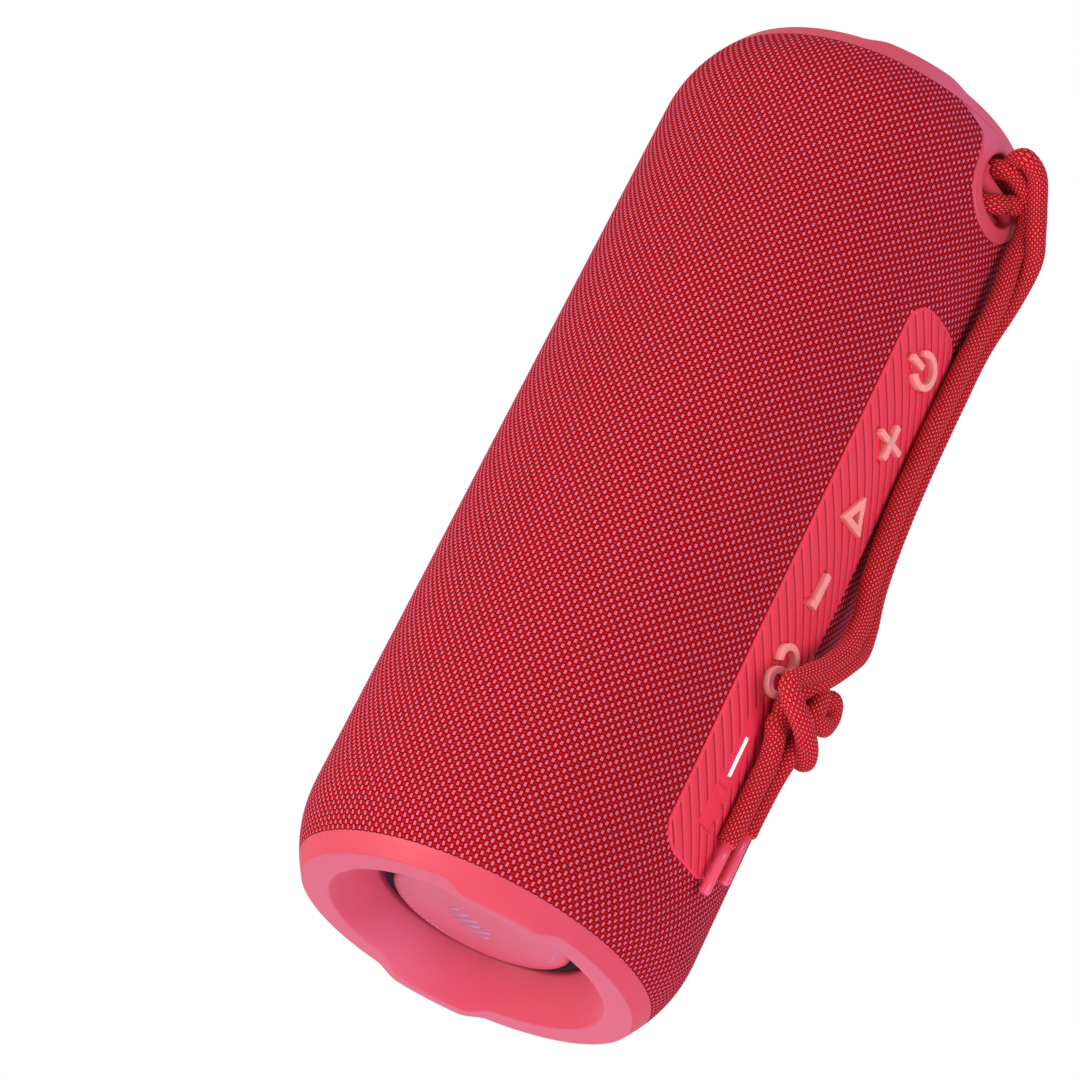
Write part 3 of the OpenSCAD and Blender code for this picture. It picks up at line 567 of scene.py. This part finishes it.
def lobe():
    """Rings from the pocket's floor to the edge. Each ring's points lie on straight lines from
    the pocket's circle to the lobe's outline; a ring is (share of that way, mm past it, depth)."""
    turn = np.radians(np.linspace(90, 270, 61))
    dz = np.linspace(0.4, LOBE_UP, 28)
    right = np.concatenate([np.stack([lobe_half(dz[::-1]), dz[::-1]], 1),
                            np.stack([LOBE_HALF * np.sin(turn), LOBE_DOWN * np.cos(turn)], 1)])
    outline = np.concatenate([right, np.stack([-lobe_half(dz), dz], 1),
                              np.stack([np.linspace(-15, 15, 24), np.full(24, LOBE_UP)], 1)])
    toward = unit(outline)
    reach = np.linalg.norm(outline, axis=1) - POCKET_R
    arc = np.radians(np.linspace(0, 90, 6))
    rings = [(0, 0.05 - POCKET_R, POCKET_FLOOR), (0, -3.0, POCKET_FLOOR), (0, -0.8, POCKET_FLOOR),
             (0, -0.2, POCKET_FLOOR + 0.3), (0, 0, POCKET_FLOOR + 1.0), (0, 0, 36.0), (0, 0, -1.8)]
    rings += [(0, LIP * (1 - math.cos(t)), LIP * (math.sin(t) - 1)) for t in arc]
    rings += [(share, LIP * (1 - share), -0.01) for share in (0.25, 0.5, 0.75)]
    rings += [(1, 0.5 * (math.sin(t) - 1), -0.01 - 0.5 * (1 - math.cos(t))) for t in arc]
    rings += [(1, 0, -1.6), (1, 0, -3.0)]
    points = []
    for share, past, depth in rings:
        x, z = ((POCKET_R + share * reach + past) * toward.T)
        z = z + EYE_Z
        proud = 0.04 + 0.34 * smoothstep(206.5, 201.5, z) - 0.2 * smoothstep(206.3, 207.2, z)
        around = np.maximum(skin(z) + proud + min(depth, 0), np.abs(x))
        y = -depth + 0 * x if depth > 0 else -np.sqrt(around ** 2 - x ** 2)
        points.append(np.stack([x, y, z], -1))
    return np.array(points)


upper_ring = cap_ring() * [1, 1, -1] + [0, 0, BODY_L]
bar_profile = [[BAR_R + 1.0, 0], [BAR_R + 0.45, 0.45], [BAR_R + 0.12, 1.0], [BAR_R, 1.8], [BAR_R, 14.2],
               [BAR_R + 0.12, 15.0], [BAR_R + 0.45, 15.55], [BAR_R + 1.0, 16]]
bar = turned(bar_profile, 48, (-8, -BAR_Y, BAR_Z), (1, 0, 0))
ring_part, lobe_part = sheet_of(upper_ring, around=True, along=True), sheet_of(lobe(), around=True, lids=True)
piece("top_cap_moulding", [ring_part, lobe_part, bar], "housing", cap_plastic, replaces=("top_cap",),
      sharp=50)

# %% [markdown]
# ## The ribbed panel
# The panel is a soft strip with rounded ends, crossed by fine slanting grooves. It
# is one height map on the body's cylinder: a face crowned between the grooves, less
# a slot round each key, less a rounding at its edge. A distance in millimetres
# drives each of those, so their widths are true. The same distance across the
# grooves is written to the map. It drives painted shade: a dark line in each groove
# bottom, and each rib coloured darker across its width from one groove to the next.

# %% Strokes of the five keys, as lines in mm on the unrolled panel
KEY_HALF, SLOT = 0.74, 0.12
POWER_Z, PLUS_Z, PLAY_Z, MINUS_Z, LINK_Z = (PANEL_Z + dz for dz in (54.0, 35.6, 17.6, -1.4, -20.6))
LIGHT_Z, PORT_Z = PANEL_Z - 41.0, PANEL_Z - 52.6


def arc(radius, start, stop, centre=(0, 0)):
    """Points every 6 degrees or so on a circle, from one angle in degrees to another."""
    a = np.radians(np.linspace(start, stop, max(int(abs(stop - start) / 6), 2) + 1))
    return np.stack([centre[0] + radius * np.cos(a), centre[1] + radius * np.sin(a)], 1)


strokes = {
    "power": (POWER_Z, [(arc(3.5, -134, 134), False), (np.array([[-5.0, 0], [-0.9, 0]]), False)]),
    "plus": (PLUS_Z, [(np.array([[-4.1, 0], [4.1, 0]]), False), (np.array([[0, -4.1], [0, 4.1]]), False)]),
    "play": (PLAY_Z, [(np.array([[0, 2.8], [-2.5, -2.4], [2.5, -2.4]]), True)]),
    "minus": (MINUS_Z, [(np.array([[-1.3, -3.4], [-0.1, -3.4], [0, 4.1]]), False)]),
    "link": (LINK_Z, [(arc(2.6, -85, 215, (0, 2.7)), False), (arc(2.6, 95, 395, (0, -2.7)), False)]),
}


def distance_to_line(points, line, closed):
    """The shortest distance from each point to a run of straight steps."""
    steps = zip(line, np.roll(line, -1, axis=0)) if closed else zip(line[:-1], line[1:])
    best = np.full(points.shape[:-1], 1e9)
    for a, b in steps:
        along = np.clip(((points - a) @ (b - a)) / ((b - a) @ (b - a)), 0, 1)
        best = np.minimum(best, np.linalg.norm(points - a - along[..., None] * (b - a), axis=-1))
    return best


# %% Panel
PANEL_FACE = BODY_R + 0.3
COVER_WIDE, COVER_LONG, COVER_FACE, COVER_ROUND = 4.2, 9.5, BODY_R - 0.28, 0.35
GROOVE_ANGLE, GROOVE_PITCH = math.radians(39.0), 4.0 * math.sin(math.radians(39.0))
CROWN, TILT, GROOVE_DEEP, GROOVE_HALF = 0.12, 0.05, 0.3, 0.3
EDGE_ROUND, SLOT_DEEP, PORT_DEEP, PORT_GAP = 0.6, 0.5, 0.95, 0.45
PATCH_WIDE, PATCH_LONG, PATCH_CORNER = 5.2, 29.0, 2.5

panel_rubber = finish("silicone rubber panel, moulded matt", "E8344E", Roughness=0.55, Specular_IOR_Level=0.3)
tone = noise(panel_rubber, 14.0)
fine = noise(panel_rubber, 0.25, 1.0)
groove_map = add(panel_rubber, "ShaderNodeUVMap").outputs["UV"]
split = add(panel_rubber, "ShaderNodeSeparateXYZ", {0: groove_map}).outputs
# Painted shade: a thin dark red line along the bottom of each groove, where shade falls in it.
near = maths(panel_rubber, "PINGPONG", split[0], 0.5)
line = maths(panel_rubber, "SUBTRACT", 1.0, ramp(panel_rubber, near, 0.03, 0.10))
# Painted shade: each rib is coloured darker across its width, from one groove to the next, as if lit from one
# side.
slope = maths(panel_rubber, "MULTIPLY", maths(panel_rubber, "FRACT", split[0]), 0.4)
face = blend_colours(panel_rubber, tone, "EA344E", "F23C58")
face = blend_colours(panel_rubber, maths(panel_rubber, "MULTIPLY", slope, split[1]), face, "CC2440")
feed(panel_rubber, Normal=bump(panel_rubber, fine, 0.008),
     Base_Color=blend_colours(panel_rubber, maths(panel_rubber, "MULTIPLY", line, split[1]), face, "98142A"))


def across_grooves(s, z):
    """(groove pitches crossed so far, share of the grooves left: none on the patch or the edge)."""
    q = (s * math.cos(GROOVE_ANGLE) + z * math.sin(GROOVE_ANGLE)) / GROOVE_PITCH
    patch = inside_of(s, z - (LIGHT_Z - 3 - PANEL_Z), PATCH_WIDE, PATCH_LONG, PATCH_CORNER)
    rim = smoothstep(0.3, 1.0, inside_of(s, z, PANEL_WIDE, PANEL_LONG, PANEL_CORNER))
    return q, (1 - smoothstep(0.0, 0.7, patch)) * rim


def panel_height(s, z):
    """Radius of the panel's face: face + crown - grooves - slots - rounding at the edge."""
    q, share = across_grooves(s, z)
    between = q - np.floor(q)
    away = np.minimum(between, 1 - between) * GROOVE_PITCH
    ribs = CROWN * (1 - (2 * between - 1) ** 2) - TILT * between
    ribs -= GROOVE_DEEP * np.maximum(1 - away / GROOVE_HALF, 0)
    inner = np.clip(inside_of(s, z, PANEL_WIDE, PANEL_LONG, PANEL_CORNER) / EDGE_ROUND, 0, 1)
    edge = EDGE_ROUND * (1 - np.sqrt(1 - (1 - inner) ** 2))
    point = np.stack([s, z], -1)
    slot = np.zeros_like(s)
    for key_z, lines_of in strokes.values():
        for line, closed in lines_of:
            near = distance_to_line(point, line + [0, key_z - PANEL_Z], closed)
            slot = np.maximum(slot, 1 - smoothstep(KEY_HALF, KEY_HALF + SLOT + 0.1, near))
    light = np.hypot(s, z - np.clip(z, LIGHT_Z - 4.4 - PANEL_Z, LIGHT_Z + 4.4 - PANEL_Z))
    slot = np.maximum(slot, 1 - smoothstep(0.35, 0.6, light))
    port = inside_of(s, z - (PORT_Z - PANEL_Z), COVER_WIDE + 2 * PORT_GAP, COVER_LONG + 2 * PORT_GAP, 1.0)
    sunk = SLOT_DEEP * slot + PORT_DEEP * smoothstep(0.0, 0.5, port)
    return PANEL_FACE + ribs * share - edge - sunk


def panel_points(fine=0.21):
    """A grid over the panel: rows along it, packed closer at its ends, columns across. The
    outermost rows and columns come twice, so that the second set can be the panel's skirt."""
    straight = PANEL_LONG / 2 - PANEL_CORNER
    turn = PANEL_CORNER * np.sin(np.linspace(0, np.pi / 2, 48))[1:]
    z = np.concatenate([-straight - turn[::-1], np.arange(-straight, straight, fine), [straight],
                        straight + turn])
    corner = np.sqrt(np.maximum(PANEL_CORNER ** 2 - np.maximum(np.abs(z) - straight, 0) ** 2, 0))
    half = PANEL_WIDE / 2 - PANEL_CORNER + corner
    reach = np.pi / 2 * 0.92
    across = np.sin(np.linspace(-reach, reach, int(PANEL_WIDE / fine) + 1)) / math.sin(reach)
    twice = np.ix_([0, *range(len(z)), -1], [0, *range(len(across)), -1])
    return (half[:, None] * across)[twice], np.repeat(z[:, None], len(across), axis=1)[twice]


s, z = panel_points()
radius = panel_height(s, z)
radius[[0, -1]] = radius[:, [0, -1]] = BODY_R - 1.0
panel = polar(radius, np.degrees(s / BODY_R), z + PANEL_Z)
piece("ribbed_panel", [sheet_of(panel, uv=np.stack(across_grooves(s, z), -1))], "housing", panel_rubber,
      replaces=("control_panel",), outward=False, sharp=60)

# %% [markdown]
# ## The five keys
# The keys are raised strokes of a lighter rubber that come up through slots in
# the panel. Each stroke is a flat ribbon along a line, with a square section that
# is rounded afterwards by a bevel. A ribbon is swept like a cord, but its section
# stays upright on the body.

# %% Keys
KEY_TOP = PANEL_FACE + 1.4
KEY_FOOT = BODY_R - 1.3

key_rubber = finish("silicone rubber keys, moulded satin", "F89C98", Roughness=0.45, Subsurface_Weight=0.35,
                    Subsurface_Scale=0.0025, Subsurface_Radius=(1.0, 0.35, 0.25))
tone = noise(key_rubber, 5.0)
feed(key_rubber, Base_Color=blend_colours(key_rubber, tone, "F6908E", "FAA6A0"))


def ribbon(line, closed, half, foot, head):
    """A square section swept along a flat line: points half mm to both sides, at two radii."""
    if closed:
        before, after = line - np.roll(line, 1, axis=0), np.roll(line, -1, axis=0) - line
    else:
        steps = np.diff(line, axis=0)
        before, after = np.vstack([steps[:1], steps]), np.vstack([steps, steps[-1:]])
    before, after = unit(before), unit(after)
    normal = unit(np.stack([-(before + after)[:, 1], (before + after)[:, 0]], 1))
    corner = np.stack([-before[:, 1], before[:, 0]], 1)
    normal = normal / np.maximum((normal * corner).sum(1, keepdims=True), 0.45)
    left, right = line + half * normal, line - half * normal
    section = [(left, foot), (left, head), (right, head), (right, foot)]
    points = [polar(radius, np.degrees(side[:, 0] / BODY_R), side[:, 1]) for side, radius in section]
    points = np.stack(points, 1)
    return sheet_of(points, around=True, along=closed, lids=not closed)


for key, (key_z, lines_of) in strokes.items():
    parts = [ribbon(line + [0, key_z], closed, KEY_HALF, KEY_FOOT, KEY_TOP - 0.015 * number)
             for number, (line, closed) in enumerate(lines_of)]
    bevel(piece(f"{key}_key", parts, f"{key}_button", key_rubber, replaces=(f"{key}_button",)), 0.3)

# %% [markdown]
# ## Light bar and port cover
# The light bar is a milky diffuser lit from behind, so it gives out light itself.
# The charging port is closed by a soft cover that sits a little below the panel.
# Its upper end has a hollow for a fingernail, and it turns on its lower edge.

# %% Light bar
diffuser = finish("opal acrylic light bar, lit", "FFFFFF", Roughness=0.35)
shader = diffuser.node_tree.nodes["Principled BSDF"]
shader.inputs["Emission Color"].default_value = linear("FFFFFF")
shader.inputs["Emission Strength"].default_value = 1.1
bar_line = np.array([[0, LIGHT_Z - 4.5], [0, LIGHT_Z + 4.5]])
bevel(piece("light_bar_diffuser", [ribbon(bar_line, False, 0.36, BODY_R - 1.5, PANEL_FACE + 0.1)], "housing",
            diffuser, replaces=("light_bar",)), 0.25)

# %% Port cover


def cover_points(rows=64, cols=30):
    """A rounded slab: depth = face - rounding at the edge - nail hollow near the upper end."""
    s, z = np.meshgrid(np.linspace(-0.5, 0.5, cols) * COVER_WIDE, np.linspace(-0.5, 0.5, rows) * COVER_LONG)
    edge = np.minimum(COVER_WIDE / 2 - np.abs(s), COVER_LONG / 2 - np.abs(z))
    rounding = COVER_ROUND * (1 - np.sqrt(1 - (1 - np.clip(edge / COVER_ROUND, 0, 1)) ** 2))
    hollow = 0.2 * smoothstep(1.5, 0.4, np.hypot(s / 1.1, (z - COVER_LONG / 2 + 1.6) / 0.8))
    face = np.stack([s, -(COVER_FACE - rounding - hollow), z + PORT_Z], -1)
    ring = face * [1, 0, 1] + [0, -(COVER_FACE - 1.8), 0]
    wrapped = np.concatenate([ring[:, :1], face, ring[:, -1:]], axis=1)
    ends = ring[[0, -1]][:, [0, *range(cols), -1]]
    return np.concatenate([ends[:1], wrapped, ends[1:]])


cover = cover_points()
back = np.concatenate([cover[0], cover[1:-1, -1], cover[-1][::-1], cover[-2:0:-1, 0]])
points, faces, flat = sheet_of(cover)
faces.append(list(range(len(points), len(points) + len(back))))
cover_part = (np.concatenate([points, back]), faces, np.concatenate([flat, np.zeros((len(back), 2))]))
cover_object = piece("port_cover", [cover_part], "port_plug", panel_rubber, replaces=("port_plug",),
                     sharp=60)
clean(cover_object.data, merge=1e-7)

# %% [markdown]
# ## Passive radiators
# A flat plate moves in and out at each end on a black rubber roll. The plate is a
# turned outline with a softly rounded edge and a faint dish. It is printed with a
# plain ornament of level bars and two dotted arcs, in a cool silver ink.

# %% Plates
PLATE_R, PLATE_FACE, PLATE_BACK = 19.5, 8.6, 10.4

plate_plastic = finish("ABS radiator plate, moulded satin", "D04A5A", Roughness=0.4)
tone = noise(plate_plastic, 7.0)
fine = noise(plate_plastic, 0.3, 1.0)
feed(plate_plastic, Base_Color=blend_colours(plate_plastic, tone, "CC4454", "D45060"),
     Normal=bump(plate_plastic, fine, 0.01))
silver_ink = finish("silver pad-printing ink", "C890B8", Roughness=0.35, Metallic=0.35)

plate_profile = [[0.05, PLATE_FACE + 0.25], [6, PLATE_FACE + 0.2], [12, PLATE_FACE + 0.08],
                 [16.5, PLATE_FACE], [17.6, PLATE_FACE + 0.02], [18.4, PLATE_FACE + 0.12],
                 [19.0, PLATE_FACE + 0.35], [19.35, PLATE_FACE + 0.7], [PLATE_R, PLATE_FACE + 1.1],
                 [PLATE_R, PLATE_BACK], [0.05, PLATE_BACK]]
INK = 0.06
BAR_HEIGHTS = [2.6, 4.6, 6.8, 5.0, 7.4, 3.8, 5.8, 2.8]


def pill(centre, along, long, wide, face):
    """A flat rounded stroke on the plate, as a closed slab that stands out by the ink's thickness."""
    along = unit(np.array(along, float))
    side = np.array([-along[1], along[0]])
    a = np.linspace(0, 2 * np.pi, 24, endpoint=False)
    reach = np.sign(np.cos(a)) * (long - wide) / 2
    outline = np.array(centre) + np.outer(reach + wide / 2 * np.cos(a), along)
    outline = outline + np.outer(wide / 2 * np.sin(a), side)
    rings = [np.column_stack([outline, np.full(24, height)]) for height in (face - INK, face + 0.35)]
    return sheet_of(np.array(rings), around=True, lids=True)


def ornament():
    """A row of level bars beside the middle, and two arcs of dots near the edge."""
    parts = [pill((n * 2.25 - 3.2, 4.9), (0, 1), high, 0.9, PLATE_FACE + 0.19)
             for n, high in enumerate(BAR_HEIGHTS)]
    for middle, far in ((85, 17.4), (-60, 16.4)):
        for dot in np.radians(middle + np.arange(-27, 28, 4.5)):
            spot = far * np.array([math.cos(dot), math.sin(dot)])
            parts.append(pill(spot, (-spot[1], spot[0]), 0.8, 0.5, PLATE_FACE + 0.03))
    return parts


def turned_over(part):
    """The same part at the other end of the body."""
    points, faces, flat = part
    return points * [1, 1, -1] + [0, 0, BODY_L], faces, flat


plate = turned(plate_profile, 96)
for end, moved in (("bottom", lambda part: part), ("top", turned_over)):
    piece(f"{end}_radiator_disc", [moved(plate)], f"{end}_radiator", plate_plastic,
          replaces=(f"{end}_radiator_plate",), sharp=50)
    piece(f"{end}_radiator_print", [moved(part) for part in ornament()], f"{end}_radiator", silver_ink)

# %% [markdown]
# ## Parts inside
# The cabinet, the drivers, the cells and the boards already have their true shapes
# in the frame, so they only get the finish of what they are made of. Each finish is
# a short row: colour, roughness, metal or not, and the grain of its surface.

# %% Finishes of the parts inside
INSIDE = {
    "ABS shell, moulded matt": ("5A0E16", 0.6, 0.0, 0.5, "grille_shell"),
    "ABS cabinet, moulded black": ("16161A", 0.55, 0.0, 0.5, """cabinet_front cabinet_back battery_tray
        bottom_radiator_frame top_radiator_frame lower_basket upper_basket"""),
    "butyl rubber, moulded": ("040405", 0.75, 0.0, 0.8, """bottom_surround top_surround cabinet_gasket
        lower_cone_surround upper_cone_surround"""),
    "pressed paper cone": ("1C1C20", 0.85, 0.0, 0.6, "lower_cone upper_cone lower_dust_cap upper_dust_cap"),
    "zinc-plated steel": ("A8AAB0", 0.32, 1.0, 0.7, """bottom_radiator_weight top_radiator_weight
        lower_top_plate upper_top_plate lower_yoke upper_yoke usb_socket
        radiator_screws driver_screws main_board_screws control_board_screws"""),
    "ferrite, sintered": ("28282C", 0.7, 0.0, 0.4, "lower_magnet upper_magnet"),
    "enamelled copper wire": ("B4622C", 0.35, 1.0, 0.3, "lower_voice_coil upper_voice_coil"),
    "PVC shrink wrap": ("2C66A0", 0.3, 0.0, 6.0, "battery_cells"),
    "glass-epoxy board with solder mask": ("0F5A2C", 0.35, 0.0, 1.5, "main_board control_board"),
    "epoxy component packages": ("141416", 0.5, 0.0, 0.5, "board_parts button_switches"),
    "clear epoxy lens": ("F4F0C8", 0.2, 0.0, 0.5, "status_leds"),
    "PVC wire insulation": ("C8A020", 0.4, 0.0, 1.0, "wire_harness"),
}
for name, (colour, rough, metal, size, members) in INSIDE.items():
    material = finish(name, colour, Metallic=metal, Specular_IOR_Level=0.25)
    spots = noise(material, size)
    darker = [0.8 * c for c in linear(colour)[:3]] + [1.0]
    feed(material, Base_Color=blend_colours(material, spots, darker, linear(colour)),
         Roughness=maths(material, "MULTIPLY_ADD", spots, 0.14, rough - 0.07),
         Normal=bump(material, spots, 0.01 if metal else 0.02))
    for member in members.split():
        nodes[member].data.materials.clear()
        nodes[member].data.materials.append(material)

# %% [markdown]
# ## Floor, light and background
# The object stands on a pale floor in a white room. The eye is below the floor, so
# the floor is clear when it is seen from beneath, and it throws no shade. Big soft
# lamps stand to the left and below, where they light the panel side and the
# funnel. One fills in from the right, and two weak ones pick out the edges from
# behind.

# %% Stage
stage_white = finish("matt white floor paint", "F2F0EF", Roughness=0.9)
tree = stage_white.node_tree
clear = add(stage_white, "ShaderNodeBsdfTransparent").outputs[0]
beneath = add(stage_white, "ShaderNodeNewGeometry").outputs["Backfacing"]
paint = tree.nodes["Principled BSDF"].outputs[0]
one_sided = add(stage_white, "ShaderNodeMixShader", {0: beneath, 1: paint, 2: clear}).outputs[0]
tree.links.new(one_sided, tree.nodes["Material Output"].inputs["Surface"])
floor_mesh = bpy.data.meshes.new("floor")
floor_mesh.from_pydata([(-3, -3, 0), (3, -3, 0), (3, 3, 0), (-3, 3, 0)], [], [(0, 1, 2, 3)])
floor_mesh.materials.append(stage_white)
floor = bpy.data.objects.new("floor", floor_mesh)
bpy.context.scene.collection.objects.link(floor)
floor.visible_shadow = floor.visible_diffuse = floor.visible_glossy = False

world = bpy.data.worlds.new("studio")
world.use_nodes = True
bpy.context.scene.world = world
backdrop = world.node_tree.nodes["Background"]
seen = world.node_tree.nodes.new("ShaderNodeLightPath").outputs["Is Camera Ray"]
level_node = world.node_tree.nodes.new("ShaderNodeMapRange")
level_node.inputs["To Min"].default_value, level_node.inputs["To Max"].default_value = 0.44, 1.0
world.node_tree.links.new(seen, level_node.inputs["Value"])
world.node_tree.links.new(level_node.outputs["Result"], backdrop.inputs["Strength"])
backdrop.inputs["Color"].default_value = linear("FFFFFF")
bpy.context.scene.view_settings.view_transform = "Standard"

CENTRE = np.array([0, 0, BODY_L / 2])
LAMPS = {  # offsets in mm along image right, image up and towards the eye; size, watts, colour
    "key_lamp": ((-620, 260, 420), 600, 6.2, "FFF4EE"),
    "low_lamp": ((-80, -700, 200), 520, 3.2, "E8CCFF"),
    "fill_lamp": ((520, -60, 620), 420, 3.0, "FFF0F4"),
    "edge_lamp": ((620, 520, -160), 420, 1.8, "C0A8FF"),
    "rim_lamp": ((-250, -500, -510), 560, 0.8, "E0D8FF"),
}
for name, (offset, size, watts, tint) in LAMPS.items():
    data = bpy.data.lights.new(name, "AREA")
    data.energy, data.color = watts, linear(tint)[:3]
    data.shape, data.size = "DISK", size * MM
    lamp = bpy.data.objects.new(name, data)
    away = offset[0] * image_right + offset[1] * image_up - offset[2] * ahead
    back = unit(away)
    side = unit(np.cross([0.1, 0.2, 1.0], back))
    place(lamp, (side, np.cross(back, side), back), CENTRE + away)
    lamp.visible_camera = False
